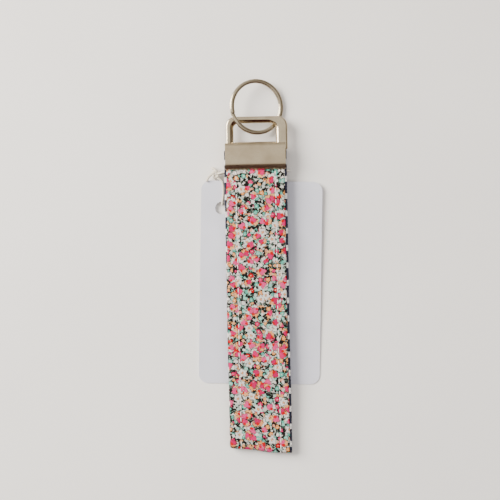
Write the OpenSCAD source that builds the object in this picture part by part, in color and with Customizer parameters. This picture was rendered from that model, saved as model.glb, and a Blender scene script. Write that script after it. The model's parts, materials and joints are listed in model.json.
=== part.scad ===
// Wristlet keychain: a doubled strip of striped webbing faced with floral lawn,
// crimped in a stamped clamp with a dee loop and a split ring, with a blank swing
// tag tied on by cotton string. X is the width, +Y points to the ring, +Z is up.
// It lies flat, its origin on the surface under the middle of the object.

/* [Clamp] */
// How far the webbing shows past each side of the clamp
clamp_inset = 0.5; // [0:0.1:1]
// Height of the clamp, from the folded top to the mouth
clamp_h = 13.3; // [12:0.1:18]
// Thickness of the stamped sheet
sheet_t = 0.8; // [0.6:0.1:1]
// Radius of the sheet's centre line over the folded top
fold_r = 2.8; // [2.6:0.1:3.2]

/* [Dee loop] */
// How far the loop stands out past each side of the clamp
dee_over = 0.4; // [0:0.1:0.8]
// How far the loop stands above the clamp
dee_h = 14; // [12:0.5:18]
// Width of the top bar
dee_bar = 3.1; // [2.5:0.1:3.6]
// Width of each leg
dee_leg = 4.4; // [3:0.1:5]
// Thickness of the loop
dee_t = 2.2; // [1.8:0.1:2.6]
// Radius of the outer corners
dee_r = 5; // [4:0.5:6]

/* [Split ring] */
// Outer diameter of the ring
ring_d = 28.6; // [26:0.2:32]
// Radial width of the wire
wire_w = 1.9; // [1.5:0.1:2.2]
// Thickness of one turn of the wire
wire_t = 1.1; // [0.9:0.1:1.3]
// Gap left between the ring and the dee bar where the ring crosses over it
ring_rest = 0.8; // [0.6:0.1:1.2]
// How far the ring's lower edge hangs below the middle of the dee bar
ring_hang = 7.75; // [7.5:0.05:8]

/* [Strap] */
// Length from the clamp's mouth to the end of the fold
strap_len = 149.5; // [120:0.5:190]
// Width of the webbing
web_w = 33; // [28:0.5:38]
// Thickness of the webbing
web_t = 1.4; // [1.1:0.1:1.6]
// Width of webbing left showing along each edge of the floral strip
lawn_inset = 1; // [0.5:0.1:2]
// Thickness of the floral strip with its turned edges
lawn_t = 0.45; // [0.3:0.05:0.6]
// Gap between the two layers of the strap
strap_gap = 1.5; // [1.3:0.1:2]
// How much higher the strap lies at the clamp than at the fold
mouth_lift = 3; // [2.8:0.1:3.4]
// Thickness of the two layers pressed together in the clamp
crimp_t = 3.2; // [2.8:0.1:3.2]

/* [Topstitching] */
// Distance of each row from the edge of the floral strip
row_inset = 5.1; // [3:0.1:7]
// Length of one stitch
stitch_l = 2.5; // [2:0.1:3]
// Distance from one stitch to the next
stitch_pitch = 3.1; // [2.8:0.1:3.6]
// Width of the thread
thread_w = 0.45; // [0.3:0.05:0.6]
// Height of a stitch above the floral strip
thread_h = 0.2; // [0.15:0.05:0.2]

/* [Swing tag] */
// Width of the tag
tag_w = 64.5; // [50:0.5:70]
// Height of the tag
tag_h = 108; // [80:0.5:110]
// Thickness of the card
tag_t = 0.4; // [0.3:0.05:0.45]
// Radius of the tag's corners
tag_r = 5; // [3:0.5:8]
// Diameter of the string hole
tag_hole = 6.7; // [5:0.1:8]
// Distance of the hole from the left edge
tag_hole_x = 10.9; // [8:0.1:14]
// Distance of the hole from the top edge
tag_hole_y = 14.6; // [12:0.1:15]
// Diameter of the cotton string
string_d = 1.1; // [0.8:0.1:1.1]

/* [Hidden] */
$fn = 64;

// Widths that follow the webbing
clamp_w = web_w - 2 * clamp_inset;
dee_w = clamp_w + 2 * dee_over;
lawn_w = web_w - 2 * lawn_inset;
row_x = lawn_w / 2 - row_inset;

// The ring hangs on the dee bar, its centre this far above the clamp
ring_seat = dee_h - dee_bar / 2 + ring_d / 2 - ring_hang;
ring_x = 0.5;
ring_reach = ring_seat + ring_d / 2;
// Heights along Y: the object is centred on the origin
total_len = ring_reach + clamp_h + strap_len;
y_top = total_len / 2 - ring_reach;
y_mouth = y_top - clamp_h;

// The strap's section, measured from the middle plane between its layers
web_in = strap_gap / 2;
web_out = web_in + web_t;
lawn_out = web_out + lawn_t;
thread_out = lawn_out + thread_h;
// The fold turns round an axis at this distance from the mouth
fold_s = strap_len - thread_out;
fold_z = thread_out;
mouth_z = fold_z + mouth_lift;

// Height of the strap's middle plane at distance s from the mouth
function mid_z(s) = mouth_z + (fold_z - mouth_z) * s / fold_s;

// The wrist loop opens at hinges half way along each layer
hinge_s = fold_s / 2;
hinge_gap = 0.75;
open_max = 50;
// The front layer stops short of the clamp, where the opening linkage is cut
front_gap = 4.2;
// Part of the fold's turn that is left clear for the front layer to swing into
fold_clear = open_max + 10;

// Half of the clear width inside the dee loop
dee_in = dee_w / 2 - dee_leg;
// The loop's hidden lower bar sits under the clamp's fold, above the strap's ends
seat_clear = 0.4;
seat_bar = 2.8;
seat_high = sheet_t + seat_clear;
seat_low = seat_high + seat_bar;
end_start = seat_low + 0.3;

// The clamp's lips turn in to the strap by this angle, round this radius
lip_turn = 68;
lip_r = 1.6;
lip_drop = (lip_r + sheet_t / 2) * sin(lip_turn);

// The ring leans sideways: its right side touches the surface, its left side lies
// over the dee bar, on the chord where the bar crosses it
wire_r = (ring_d - wire_w) / 2;
chord = sqrt(wire_r * wire_r - pow(ring_d / 2 - ring_hang, 2));
ring_lean = asin((mouth_z + dee_t / 2 + ring_rest) / (wire_r + chord));
wire_edge = 0.3;
ring_z = (ring_d / 2 - wire_edge) * sin(ring_lean) + wire_t * cos(ring_lean);

// The tag lies on the surface at its far end and on its string at its near end
tag_x = -18.5;
tag_s = 21.3;
tag_turn = -1.9;
tag_slope = 0.85;
tag_z = 1.47;

// Points of the string round the back layer: X, distance from the mouth, Z
round_route = [
    [-19.5, 3.0, 3.5], [-18.4, 2.7, 4.3], [-17.6, 2.5, 5.1], [-16.6, 2.4, 5.7], [-15, 2.4, 5.75],
    [-12.0, 2.4, 5.75], [0, 2.4, 5.75], [12.0, 2.4, 5.75], [15.5, 2.4, 5.75],
    [17.2, 2.4, 5.4], [17.9, 2.4, 4.4], [17.7, 2.4, 3.2], [16.6, 2.4, 2.5],
    [14.5, 2.4, 2.3], [8.0, 2.4, 2.3], [0, 2.4, 2.3], [-8.0, 2.4, 2.3],
    [-14.5, 2.4, 2.3], [-18.0, 2.9, 2.2], [-19.3, 3.2, 2.2]];
// Points of the string from the knot through the tag's hole and back under it
tag_route = [
    [-20.0, 5.5, 3.0], [-18.4, 6.6, 2.9], [-17.6, 8.5, 2.8], [-17.4, 11.5, 2.75],
    [-17.5, 14.5, 2.7], [-17.8, 17.0, 2.6], [-18.0, 18.4, 2.4], [-18.1, 19.3, 1.9],
    [-18.2, 19.4, 1.2], [-18.4, 18.6, 0.75], [-18.8, 17.0, 0.65], [-19.6, 14.0, 0.65],
    [-20.4, 11.0, 0.65], [-21.0, 8.0, 0.7], [-21.3, 6.4, 1.1], [-21.4, 5.4, 1.9]];
// The knot
knot_at = [-20.9, 3.0, 2.3];
knot_r = 1.6;

// A point given as X, distance from the mouth, Z
function at(p) = [p[0], y_mouth - p[1], p[2]];
function unit(v) = v / norm(v);
// Direction of a route at its point i
function heading(pts, i) =
    unit(pts[min(i + 1, len(pts) - 1)] - pts[max(i - 1, 0)]);

// A round cord swept along points; ref is never along the route
module cord(pts, d, ref, sides = 8) {
    n = len(pts);
    rings = [for (i = [0:n - 1])
        let (t = heading(pts, i), u = unit(cross(t, ref)), v = cross(u, t))
            for (k = [0:sides - 1])
                pts[i] + d / 2 * (cos(360 * k / sides) * u + sin(360 * k / sides) * v)];
    walls = [for (i = [0:n - 2], k = [0:sides - 1])
        let (a = i * sides + k, b = i * sides + (k + 1) % sides)
            [a, b, b + sides, a + sides]];
    caps = [[for (k = [sides - 1:-1:0]) k], [for (k = [0:sides - 1]) (n - 1) * sides + k]];
    polyhedron(points = rings, faces = concat(walls, caps), convexity = 6);
}

// Extrudes a YZ outline along X, centred
module across(width) {
    rotate([90, 0, 90]) linear_extrude(width, center = true) children();
}

// One layer of the strap between two distances and two heights off the middle plane
module band(s0, s1, w0, w1, width) {
    across(width) polygon([
        [y_mouth - s0, mid_z(s0) + w0], [y_mouth - s1, mid_z(s1) + w0],
        [y_mouth - s1, mid_z(s1) + w1], [y_mouth - s0, mid_z(s0) + w1]]);
}

// Part of the fold's half turn: a sheet from radius r0 to r1
module turn(r0, r1, width) {
    translate([-width / 2, y_mouth - fold_s, fold_z]) rotate([90, 0, 90])
        rotate([0, 0, 90 + fold_clear]) rotate_extrude_flat(r0, r1, 180 - fold_clear, width);
}

module rotate_extrude_flat(r0, r1, angle, width) {
    rotate_extrude(angle = angle) translate([r0, 0]) square([r1 - r0, width]);
}

// Two rows of stitches on one layer; side is 1 on the front, -1 on the back
module rows(s0, s1, side) {
    count = floor((s1 - s0 - stitch_l) / stitch_pitch) + 1;
    lead = (s1 - s0 - (count - 1) * stitch_pitch - stitch_l) / 2;
    for (x = [-row_x, row_x], i = [0:count - 1]) {
        start = s0 + lead + i * stitch_pitch;
        translate([x, 0, 0])
            band(start, start + stitch_l, side * lawn_out, side * thread_out, thread_w);
    }
}

// Outline of one side of the clamp's sheet, from the fold's top to the lip, at offset
// k from its centre line; sign is 1 on the front, -1 on the back
function sheet_side(k, sign, first = 90) = concat(
    [for (a = [first:-6:0])
        [y_top - fold_r - sheet_t / 2 + (fold_r + k) * sin(a), sign * (fold_r + k) * cos(a)]],
    [for (a = [0:8.5:lip_turn])
        [y_mouth + lip_drop - (lip_r + k) * sin(a),
         sign * (fold_r - lip_r + (lip_r + k) * cos(a))]]);
function flip(v) = [for (i = [len(v) - 1:-1:0]) v[i]];

module clamp_shell() {
    half = sheet_t / 2;
    notch_d = fold_r + half;
    notch_clear = 0.3;
    tooth = 2;
    color("#BDB5A4") difference() {
        translate([0, 0, mouth_z]) across(clamp_w) polygon(concat(
            flip(sheet_side(half, 1)), sheet_side(half, -1, 84),
            flip(sheet_side(-half, -1)), sheet_side(-half, 1, 84)));
        // notches in the fold, where the loop's legs come out
        for (x = [-1, 1]) translate([x * (dee_in + 10 - notch_clear), y_top, mouth_z])
            cube([20, 2 * notch_d, dee_t + 2 * notch_clear], center = true);
        // teeth along the turned-in lips
        for (i = [0:clamp_w / tooth])
            translate([(i - clamp_w / tooth / 2) * tooth, y_mouth, mouth_z])
                rotate([0, 0, 45]) cube([0.7, 0.7, 3.6], center = true);
    }
}

// A rectangle with round corners, centred in X, from y0 to y1
module plate(w, y0, y1, r_low, r_top) {
    half = w / 2;
    for (x = [-1, 1]) {
        translate([x * (half - r_low), y0 + r_low]) circle(r_low);
        translate([x * (half - r_top), y1 - r_top]) circle(r_top);
    }
    translate([-half + r_low, y0]) square([w - 2 * r_low, r_low + 0.1]);
    translate([-half, y0 + r_low]) square([w, y1 - y0 - r_low - r_top]);
    translate([-half + r_top, y1 - r_top - 0.1]) square([w - 2 * r_top, r_top + 0.1]);
}

module dee_loop() {
    color("#C9C2B0") translate([0, 0, mouth_z - dee_t / 2]) linear_extrude(dee_t) difference() {
        plate(dee_w, y_top - seat_low, y_top + dee_h, 1, dee_r);
        plate(2 * dee_in, y_top - seat_high, y_top + dee_h - dee_bar, 0.6, dee_r - dee_bar + 1);
    }
}

module split_ring() {
    slot = 0.5;
    r1 = ring_d / 2;
    r0 = r1 - wire_w;
    c = wire_edge;
    color("#C4BCAA") translate([ring_x, y_top + ring_seat, ring_z]) rotate([0, ring_lean, 0])
        difference() {
            rotate_extrude() polygon([
                [r0 + c, -wire_t], [r1 - c, -wire_t], [r1, c - wire_t], [r1, wire_t - c],
                [r1 - c, wire_t], [r0 + c, wire_t], [r0, wire_t - c], [r0, c - wire_t]]);
            // the groove between the turns, and the two ends of the wire
            rotate_extrude() translate([r1 - 0.25, -0.08]) square([1, 0.16]);
            for (end = [[150, 1], [25, -1]]) rotate([0, 0, end[0]])
                translate([r1 - wire_w / 2, 0, end[1] * wire_t])
                    cube([2 * wire_w, slot, 2 * wire_t], center = true);
        }
}

// A pressed end of the strap in the clamp, between two heights off the middle plane
module pressed(w0, w1, width) {
    across(width) polygon([
        [y_top - end_start, mouth_z + w0], [y_mouth, mouth_z + w0],
        [y_mouth, mouth_z + w1], [y_top - end_start, mouth_z + w1]]);
}

// Share of the pressed thickness that is webbing
web_share = 0.78;

module webbing_ends() {
    color("#232B55") for (side = [-1, 1])
        pressed(side * 0.05, side * crimp_t / 2 * web_share, web_w);
}

module lawn_ends() {
    color("#D9AEB4") for (side = [-1, 1])
        pressed(side * crimp_t / 2 * web_share, side * crimp_t / 2, lawn_w);
}

module webbing_back_upper() {
    color("#232B55") band(0, hinge_s - hinge_gap, -web_in, -web_out, web_w);
}

module lawn_back_upper() {
    color("#D9AEB4") band(0, hinge_s - hinge_gap, -web_out, -lawn_out, lawn_w);
}

module stitches_back_upper() {
    color("#F4F1EA") rows(0, hinge_s - hinge_gap, -1);
}

module webbing_back_lower() {
    color("#232B55") band(hinge_s + hinge_gap, fold_s, -web_in, -web_out, web_w);
}

module lawn_back_lower() {
    color("#D9AEB4") band(hinge_s + hinge_gap, fold_s, -web_out, -lawn_out, lawn_w);
}

module stitches_back_lower() {
    color("#F4F1EA") rows(hinge_s + hinge_gap, fold_s - 1, -1);
}

module webbing_fold() {
    color("#232B55") turn(web_in, web_out, web_w);
}

module lawn_fold() {
    color("#D9AEB4") turn(web_out, lawn_out, lawn_w);
}

module stitches_fold() {
    color("#F4F1EA") for (x = [-row_x, row_x])
        translate([x, 0, 0]) turn(lawn_out, thread_out, thread_w);
}

module webbing_front_lower() {
    color("#232B55") band(hinge_s + hinge_gap, fold_s, web_in, web_out, web_w);
}

module lawn_front_lower() {
    color("#D9AEB4") band(hinge_s + hinge_gap, fold_s, web_out, lawn_out, lawn_w);
}

module stitches_front_lower() {
    color("#F4F1EA") rows(hinge_s + hinge_gap, fold_s, 1);
}

module webbing_front_upper() {
    color("#232B55") band(front_gap, hinge_s - hinge_gap, web_in, web_out, web_w);
}

module lawn_front_upper() {
    color("#D9AEB4") band(front_gap, hinge_s - hinge_gap, web_out, lawn_out, lawn_w);
}

module stitches_front_upper() {
    color("#F4F1EA") rows(front_gap, hinge_s - hinge_gap, 1);
}

module string_round_strap() {
    color("#EDE6D6") cord([for (p = round_route) at(p)], string_d, [0, 1, 0]);
}

module string_knot() {
    color("#EDE6D6") translate(at(knot_at)) sphere(knot_r);
}

module string_to_tag() {
    color("#EDE6D6") cord([for (p = tag_route) at(p)], string_d, [1, 0, 0]);
}

module swing_tag() {
    color("#DCDCE2") translate([tag_x, y_mouth - tag_s, tag_z]) rotate([tag_slope, 0, 0])
        rotate([0, 0, tag_turn]) difference() {
            translate([tag_w / 2 - tag_hole_x, 0, 0]) linear_extrude(tag_t)
                plate(tag_w, tag_hole_y - tag_h, tag_hole_y, tag_r, tag_r);
            translate([0, 0, -1]) cylinder(d = tag_hole, h = tag_t + 2);
        }
}

clamp_shell();
dee_loop();
split_ring();
webbing_ends();
lawn_ends();
webbing_back_upper();
lawn_back_upper();
stitches_back_upper();
webbing_back_lower();
lawn_back_lower();
stitches_back_lower();
webbing_fold();
lawn_fold();
stitches_fold();
webbing_front_lower();
lawn_front_lower();
stitches_front_lower();
webbing_front_upper();
lawn_front_upper();
stitches_front_upper();
string_round_strap();
string_knot();
string_to_tag();
swing_tag();
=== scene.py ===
"""Wristlet keychain: the visible pieces of a doubled fabric strap, its stamped
clamp, dee loop, split ring and a blank swing tag on string, built round the frame."""

import json
import math
import random

import bpy
import bmesh
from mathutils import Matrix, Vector


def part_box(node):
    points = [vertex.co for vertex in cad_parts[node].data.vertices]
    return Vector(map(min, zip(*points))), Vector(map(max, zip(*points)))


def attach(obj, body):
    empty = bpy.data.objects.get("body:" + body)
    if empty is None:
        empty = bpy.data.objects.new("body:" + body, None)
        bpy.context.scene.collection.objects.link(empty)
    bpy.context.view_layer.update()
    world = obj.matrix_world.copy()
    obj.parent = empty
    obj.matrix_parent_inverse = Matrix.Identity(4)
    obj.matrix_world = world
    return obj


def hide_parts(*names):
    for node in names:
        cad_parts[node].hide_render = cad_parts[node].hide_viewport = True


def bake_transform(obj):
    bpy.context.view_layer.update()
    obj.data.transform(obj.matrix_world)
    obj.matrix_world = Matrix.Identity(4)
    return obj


bl_info = {
    "name": "Wristlet keychain",
    "version": (1, 0, 0),
    "blender": (4, 5, 0),
    "location": "View3D > Sidebar > Wristlet",
    "description": "Builds a fabric wristlet keychain round its engineering frame",
    "category": "Add Mesh",
}

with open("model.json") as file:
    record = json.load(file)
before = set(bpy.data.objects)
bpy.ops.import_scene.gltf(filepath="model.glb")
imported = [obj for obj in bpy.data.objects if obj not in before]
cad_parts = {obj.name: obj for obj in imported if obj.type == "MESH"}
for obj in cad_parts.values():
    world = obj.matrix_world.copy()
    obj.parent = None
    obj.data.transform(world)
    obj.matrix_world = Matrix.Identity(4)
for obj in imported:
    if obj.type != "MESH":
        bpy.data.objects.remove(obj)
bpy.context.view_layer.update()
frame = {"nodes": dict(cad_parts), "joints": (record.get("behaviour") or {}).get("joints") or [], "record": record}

MM = 0.001
WEB_T = 1.4 * MM

# ---------------------------------------------------------------- places from the frame


def box(node):
    """Lowest and highest corner of a node at rest."""
    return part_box(node)


Y_TOP = box("clamp_shell")[1].y
Y_MOUTH = box("webbing_ends")[0].y
END_LEN = box("webbing_ends")[1].y - Y_MOUTH
MOUTH_Z = (box("clamp_shell")[0].z + box("clamp_shell")[1].z) / 2
CLAMP_HALF = (box("clamp_shell")[1].z - box("clamp_shell")[0].z) / 2
CLAMP_W = box("clamp_shell")[1].x
# The rolled lips reach this far past the mouth of the frame's clamp
LIP_REACH = 1.7 * MM
CLAMP_H = Y_TOP - Y_MOUTH + LIP_REACH
WEB_HALF = box("webbing_fold")[1].x
LAWN_HALF = box("lawn_fold")[1].x
ROW_X = (box("stitches_fold")[1].x + box("stitches_fold")[0].x) / 2 + 10.4 * MM
FOLD_Y = box("webbing_fold")[1].y
WEB_OUT = FOLD_Y - box("webbing_fold")[0].y
LAWN_OUT = FOLD_Y - box("lawn_fold")[0].y
THREAD_OUT = FOLD_Y - box("stitches_fold")[0].y
FOLD_Z = box("stitches_fold")[0].z + THREAD_OUT
FOLD_S = Y_MOUTH - FOLD_Y
CRIMP_HALF = box("lawn_ends")[1].z - MOUTH_Z


def joint(name):
    """A joint of the frame by its name."""
    return next(j for j in frame["joints"] if j["name"] == name)


HINGE_BACK = Vector(joint("loop_open")["pos_m"])
HINGE_FRONT = Vector(joint("front_bend")["pos_m"])

# ---------------------------------------------------------------- settings


class WristletSizes(bpy.types.PropertyGroup):
    """Sizes that the frame doesn't set."""

    web_t: bpy.props.FloatProperty(
        name="Webbing thickness", description="Thickness of the woven tape",
        default=WEB_T, unit="LENGTH")
    stripe: bpy.props.FloatProperty(
        name="Stripe repeat", description="Length of one navy and one white stripe",
        default=9.13 * MM, unit="LENGTH")
    stitch_pitch: bpy.props.FloatProperty(
        name="Stitch pitch", description="Distance from one stitch to the next",
        default=3.1 * MM, unit="LENGTH")
    stitch_len: bpy.props.FloatProperty(
        name="Stitch length", description="Length of thread that shows in one stitch",
        default=2.5 * MM, unit="LENGTH")
    sheet_t: bpy.props.FloatProperty(
        name="Clamp sheet", description="Thickness of the stamped sheet",
        default=0.8 * MM, unit="LENGTH")
    string_d: bpy.props.FloatProperty(
        name="String", description="Diameter of the cotton string",
        default=1.1 * MM, unit="LENGTH")
    bend: bpy.props.FloatProperty(
        name="Bend", description="Half of the length over which a strap layer bends",
        default=22 * MM, unit="LENGTH")


def colour_prop(name, description, hex_colour):
    """A colour setting whose default is an sRGB hex value."""
    return bpy.props.FloatVectorProperty(
        name=name, description=description, subtype="COLOR", size=4,
        min=0, max=1, default=linear(hex_colour))


def linear(hex_colour):
    """An sRGB hex colour as linear red, green, blue and alpha."""
    parts = [int(hex_colour[i:i + 2], 16) / 255 for i in (1, 3, 5)]
    return tuple(c / 12.92 if c <= 0.04045 else ((c + 0.055) / 1.055) ** 2.4 for c in parts) + (1.0,)


class WristletColours(bpy.types.PropertyGroup):
    """Colours of the fabric and the hardware."""

    navy: colour_prop("Navy", "Navy stripe of the webbing", "#0A0F2C")
    white: colour_prop("White", "White stripe of the webbing", "#ECEAE6")
    string: colour_prop("String", "Unbleached cotton string", "#EFE8DA")
    card: colour_prop("Card", "Card of the swing tag", "#D9DAE6")


def sizes():
    """The size settings of this scene."""
    return bpy.context.scene.wristlet_sizes


def colours():
    """The colour settings of this scene."""
    return bpy.context.scene.wristlet_colours


# ---------------------------------------------------------------- mesh helpers


def smooth(a, b, x):
    """0 below a, 1 above b, and an even turn between them."""
    t = min(max((x - a) / (b - a), 0), 1)
    return t * t * (3 - 2 * t)


def finish_mesh(name, bm, material, merge=1e-6, recalc=True):
    """Closes a bmesh into a smooth-shaded object of the scene."""
    if merge:
        bmesh.ops.remove_doubles(bm, verts=bm.verts, dist=merge)
    if recalc:
        bmesh.ops.recalc_face_normals(bm, faces=bm.faces)
    for face in bm.faces:
        face.smooth = True
    mesh = bpy.data.meshes.new(name)
    bm.to_mesh(mesh)
    bm.free()
    mesh.materials.append(material)
    obj = bpy.data.objects.new(name, mesh)
    bpy.context.scene.collection.objects.link(obj)
    return obj


def skin(bm, across, along, place, uv=None, closed=False):
    """A grid laid on place(i, j), which gives a point for each column and row.

    closed says that the first and last columns meet; the open ends are then capped."""
    layer = bm.loops.layers.uv.get("cloth") or bm.loops.layers.uv.new("cloth")
    made = bmesh.ops.create_grid(bm, x_segments=across, y_segments=along, size=0.5)
    index = {}
    for v in made["verts"]:
        index[v] = (round((v.co.x + 0.5) * across), round((v.co.y + 0.5) * along))
    faces = {f for v in made["verts"] for f in v.link_faces}
    if uv:
        for face in faces:
            for loop in face.loops:
                loop[layer].uv = uv(*index[loop.vert])
    for v, (i, j) in index.items():
        v.co = place(i, j)
    if closed:
        bmesh.ops.remove_doubles(bm, verts=list(index), dist=1e-7)
        edges = [e for e in bm.edges if e.is_boundary]
        bmesh.ops.holes_fill(bm, edges=edges)


def add_modifier(obj, kind, **settings):
    """Adds a modifier with its settings."""
    mod = obj.modifiers.new(kind.title(), kind)
    for key, value in settings.items():
        setattr(mod, key, value)
    return mod


# ---------------------------------------------------------------- the strap's course

FOLD_MID = (WEB_OUT + LAWN_OUT) / 2
FOLD_LEN = math.pi * FOLD_MID
# Cloth length from the clamp's mouth on the front, round the fold, to the mouth behind
CLOTH = 2 * FOLD_S + FOLD_LEN
WEB_IN = WEB_OUT - WEB_T
PRESSED_IN = 0.05 * MM
# The layers spread from pressed to loose over this distance below the clamp
SPREAD = 10 * MM
# The end of the fold hangs lower and runs askew
DROOP = 1.65 * MM
SKEW = 2.05 * MM
# The lips bite into the layers just below the mouth: depth, place and reach
BITE, BITE_AT, BITE_REACH = 0.45, 1.5 * MM, 1.9 * MM
# The folded piece takes in this much of the flat layers
FOLD_RUN = 2 * MM
TUCK = END_LEN - 0.3 * MM

# Spans of cloth length that each strap piece covers
SPANS = {
    "front": [(0, FOLD_S - FOLD_RUN)],
    "fold": [(FOLD_S - FOLD_RUN, FOLD_S + FOLD_LEN + FOLD_RUN)],
    "back": [(FOLD_S + FOLD_LEN + FOLD_RUN, CLOTH)],
    "ends": [(-TUCK, 0.2 * MM), (CLOTH - 0.2 * MM, CLOTH + TUCK)],
}


def mid_z(s):
    """Height of the strap's middle plane at distance s below the clamp."""
    return MOUTH_Z + (FOLD_Z - MOUTH_Z) * max(s, 0) / FOLD_S


def layer_offset(s, w):
    """How far off the middle plane a layer at depth w lies, pressed near the clamp."""
    share = (w - WEB_IN) / (LAWN_OUT - WEB_IN)
    pressed = PRESSED_IN + share * (CRIMP_HALF - PRESSED_IN)
    bite = 1 - BITE * math.exp(-((s - BITE_AT) / BITE_REACH) ** 2)
    return (pressed + (w - pressed) * smooth(-0.5 * MM, SPREAD, s)) * bite


def settle(x, y, z, side):
    """Small unevenness of the laid strap: a skewed fold and a slow wave."""
    reach = smooth(50 * MM, FOLD_S, Y_MOUTH - y)
    dy = -reach * (DROOP + SKEW * x / WEB_HALF + 0.22 * MM * math.sin(x * 330))
    wave = 0.35 * MM * math.sin(y * 95 + x * 40) * smooth(8 * MM, 30 * MM, Y_MOUTH - y)
    lift = wave * smooth(0, 12 * MM, y - FOLD_Y) * (1 if side > 0 else 0.35)
    return Vector((x + 0.2 * MM * math.sin(y * 60) * reach, y + dy, z + max(lift, -0.2 * MM)))


def strap_point(x, length, w):
    """A point of the strap at a cloth length and a depth w off its middle plane."""
    if length <= FOLD_S:
        return settle(x, Y_MOUTH - length, mid_z(length) + layer_offset(length, w), 1)
    if length >= FOLD_S + FOLD_LEN:
        s = CLOTH - length
        return settle(x, Y_MOUTH - s, mid_z(s) - layer_offset(s, w), -1)
    turn = math.pi / 2 + (length - FOLD_S) / FOLD_MID
    return settle(x, FOLD_Y + w * math.cos(turn), FOLD_Z + w * math.sin(turn), 1)


def ride_strap(obj, part):
    """Parents the clamped ends to the fob and leaves the other strap pieces fixed where they lie."""
    if part == "ends":
        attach(obj, "fob")
    elif part == "front":
        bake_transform(obj)
    elif part == "fold":
        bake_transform(obj)
    else:
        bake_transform(obj)


def strap_nodes(kind, part):
    """The frame's nodes that a strap piece stands for."""
    if part in ("fold", "ends"):
        return [f"{kind}_{part}"]
    return [f"{kind}_{part}_upper", f"{kind}_{part}_lower"]


# ---------------------------------------------------------------- materials


def add(tree, kind, inputs=(), out=0, **settings):
    """Adds a node with its settings and inputs, values or sockets, and gives an output."""
    node = tree.nodes.new(kind)
    for key, value in settings.items():
        setattr(node, key, value)
    pairs = inputs.items() if isinstance(inputs, dict) else enumerate(inputs)
    for key, value in pairs:
        if isinstance(value, bpy.types.NodeSocket):
            tree.links.new(value, node.inputs[key])
        elif value is not None:
            node.inputs[key].default_value = value
    return node.outputs[out]


def new_material(name):
    """An empty material, its node tree and its shader."""
    mat = bpy.data.materials.new(name)
    mat.use_nodes = True
    tree = mat.node_tree
    return mat, tree, tree.nodes["Principled BSDF"]


def set_stops(socket, stops, mode="CONSTANT"):
    """Gives a colour ramp its stops, as pairs of place and hex colour."""
    ramp = socket.node.color_ramp
    ramp.interpolation = mode
    while len(ramp.elements) < len(stops):
        ramp.elements.new(0.5)
    for element, (place, hex_colour) in zip(ramp.elements, stops):
        element.position = place
        element.color = linear(hex_colour)
    return socket


def ramp(tree, value, stops):
    """A smooth colour ramp driven by a value."""
    return set_stops(add(tree, "ShaderNodeValToRGB", [value]), stops, "LINEAR")


def calc(tree, operation, *inputs):
    """A maths node on plain values."""
    return add(tree, "ShaderNodeMath", inputs, operation=operation)


def vector(tree, operation, *inputs):
    """A maths node on vectors."""
    return add(tree, "ShaderNodeVectorMath", inputs, operation=operation)


def noise(tree, coords, scale, detail, **settings):
    """A noise texture, by default its factor."""
    return add(tree, "ShaderNodeTexNoise",
               {"Vector": coords, "Scale": scale, "Detail": detail}, **settings)


def tint(tree, base, value, stops):
    """A colour darkened unevenly by a smooth ramp."""
    return add(tree, "ShaderNodeMix", {0: 1.0, 6: base, 7: ramp(tree, value, stops)}, out=2,
               data_type="RGBA", blend_type="MULTIPLY")


def bump(tree, shader, height, strength, depth):
    """Fine relief on a shader."""
    relief = add(tree, "ShaderNodeBump",
                 {"Strength": strength, "Distance": depth, "Height": height})
    tree.links.new(relief, shader.inputs["Normal"])


def set_inputs(shader, values):
    """Gives a shader its constant inputs."""
    for key, value in values.items():
        shader.inputs[key].default_value = value


def cloth_coords(tree):
    """The piece's own cloth coordinates in millimetres."""
    uv = add(tree, "ShaderNodeUVMap", uv_map="cloth")
    return vector(tree, "MULTIPLY", uv, (1 / MM, 1 / MM, 0))


def over(tree, below, above, mask):
    """One colour laid over another where the mask is 1."""
    return add(tree, "ShaderNodeMix", {0: mask, 6: below, 7: above}, out=2, data_type="RGBA")


def inside(tree, distance, radius, soft):
    """1 where a distance is less than a radius, with a soft edge."""
    return add(tree, "ShaderNodeMapRange", [distance, radius - soft, radius + soft, 1, 0])


def scatter(tree, coords, pitch, shift, jitter):
    """Scattered motifs: place within the nearest one, in pitches, and its random colour."""
    scaled = vector(tree, "MULTIPLY", coords, (1 / pitch, 1 / pitch, 0))
    moved = vector(tree, "ADD", scaled, shift)
    cell = add(tree, "ShaderNodeTexVoronoi", {"Vector": moved, "Scale": 1.0, "Randomness": jitter},
               out="Position", voronoi_dimensions="2D")
    local = vector(tree, "SUBTRACT", moved, cell)
    random_colour = cell.node.outputs["Color"]
    parts = add(tree, "ShaderNodeSeparateColor", [random_colour])
    angle = calc(tree, "MULTIPLY", parts, 2 * math.pi)
    turned = add(tree, "ShaderNodeVectorRotate", {"Vector": local, "Angle": angle},
                 rotation_type="Z_AXIS")
    return turned, parts.node.outputs[1], parts.node.outputs[2]


def petals(tree, place, centre, count, depth):
    """Distance from a motif's centre that swells between petals."""
    off = vector(tree, "SUBTRACT", place, centre)
    split = add(tree, "ShaderNodeSeparateXYZ", [off])
    angle = calc(tree, "ARCTAN2", split.node.outputs[1], split.node.outputs[0])
    lobes = calc(tree, "MULTIPLY", angle, float(count))
    wave = calc(tree, "COSINE", lobes)
    swell = calc(tree, "MULTIPLY_ADD", wave, depth, 1.0)
    length = add(tree, "ShaderNodeVectorMath", [off], out="Value", operation="LENGTH")
    return calc(tree, "MULTIPLY", length, swell)


def stamp(tree, colour, distance, chosen, rings):
    """A motif of nested shapes laid over a colour, largest first."""
    for radius, paint in rings:
        edge = inside(tree, distance, radius, 0.02)
        mask = calc(tree, "MULTIPLY", edge, chosen)
        colour = over(tree, colour, linear(paint) if isinstance(paint, str) else paint, mask)
    return colour


def share_of(tree, tone, share):
    """1 for that share of the motifs."""
    return calc(tree, "LESS_THAN", tone, share)


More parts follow.
